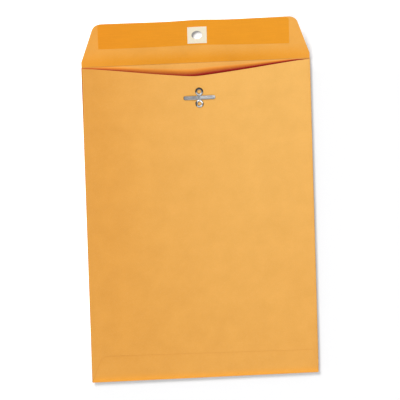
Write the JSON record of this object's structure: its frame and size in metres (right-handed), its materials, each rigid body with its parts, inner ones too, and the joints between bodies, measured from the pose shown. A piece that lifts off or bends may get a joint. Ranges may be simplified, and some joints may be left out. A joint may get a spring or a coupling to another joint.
{
  "type": "clasp envelope",
  "caption": "Kraft paper catalogue envelope lying on its address side, with a V-throated pocket, a raised gummed flap with a patched hole and a metal clasp with bendable prongs.",
  "frame": {"origin": "centre of the address panel's underside, between the side folds and between the bottom fold and the flap crease", "axes": "+X to the right seen from the clasp side, +Y from the bottom fold towards the flap, +Z out of the clasp side"},
  "size_m": [0.1906, 0.3049, 0.0224],
  "materials": {
    "kraft_paper": "matt, fine fibres",
    "seam_glue": "thin dried film",
    "flap_gum": "dried gum, low sheen",
    "patch_card": "smooth cream",
    "tinplate": "bright stamped tinplate"
  },
  "bodies": {
    "pocket": {"address_panel": "kraft_paper", "side_seam_strip": "kraft_paper", "side_seam_glue": "seam_glue", "clasp_panel": "kraft_paper", "bottom_seam_glue": "seam_glue", "bottom_flap": "kraft_paper"},
    "flap": {"closure_flap": "kraft_paper", "flap_gum_strip": "flap_gum", "flap_hole_patch": "patch_card"},
    "clasp": {"clasp_plate": "tinplate", "upper_eyelet": "tinplate", "lower_eyelet": "tinplate", "upper_paper_disc": "kraft_paper", "lower_paper_disc": "kraft_paper"},
    "left_prong": {"left_prong": "tinplate"},
    "right_prong": {"right_prong": "tinplate"}
  },
  "joints": [
    {"name": "flap_fold", "type": "hinge", "parent": "pocket", "child": "flap", "pos_m": [0, 0.13297, 0.00038], "axis": [1, 0, 0], "range_deg": [-30, 145]},
    {"name": "mouth_flex", "type": "hinge", "parent": "pocket", "child": "clasp", "pos_m": [0, -0.11015, 0.00059], "axis": [1, 0, 0], "range_deg": [-1.23, 0.26], "deforming": ["clasp_panel"]},
    {"name": "left_prong_bend", "type": "hinge", "parent": "clasp", "child": "left_prong", "pos_m": [0.00093, 0.10456, 0.00603], "axis": [0, 0.9998, 0.0223], "range_deg": [0, 90]},
    {"name": "right_prong_bend", "type": "hinge", "parent": "clasp", "child": "right_prong", "pos_m": [0.00237, 0.10456, 0.00603], "axis": [0, -0.9998, -0.0223], "range_deg": [0, 90]}
  ],
  "couplings": [
    {"joint": "mouth_flex", "follows": "flap_fold", "ratio": -0.0084}
  ]
}
